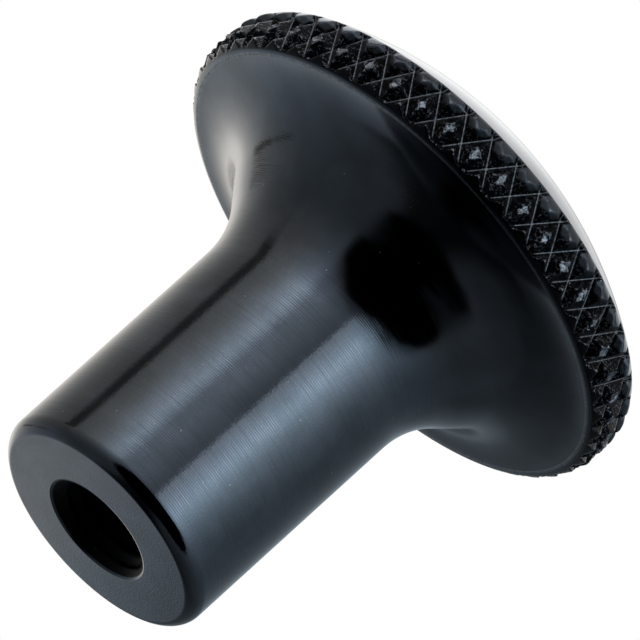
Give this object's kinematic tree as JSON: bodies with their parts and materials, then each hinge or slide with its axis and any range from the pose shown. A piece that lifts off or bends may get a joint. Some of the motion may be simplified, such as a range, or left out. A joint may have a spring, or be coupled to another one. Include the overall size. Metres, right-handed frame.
{
  "type": "knurled knob",
  "caption": "Turned push-pull knob with a domed, diamond-knurled head that flares into a plain stem with a tapped hole in its end.",
  "frame": {"origin": "centre of the stem's end face", "axes": "+Z along the knob's axis, from the stem's end face to the dome; X and Y are free, since the knob is round"},
  "size_m": [0.03, 0.03, 0.0311],
  "materials": {
    "blackened_steel": "turned and knurled, then chemically blackened and oiled: satin blue-black"
  },
  "bodies": {
    "root": {"knob": "blackened_steel"}
  },
  "joints": []
}
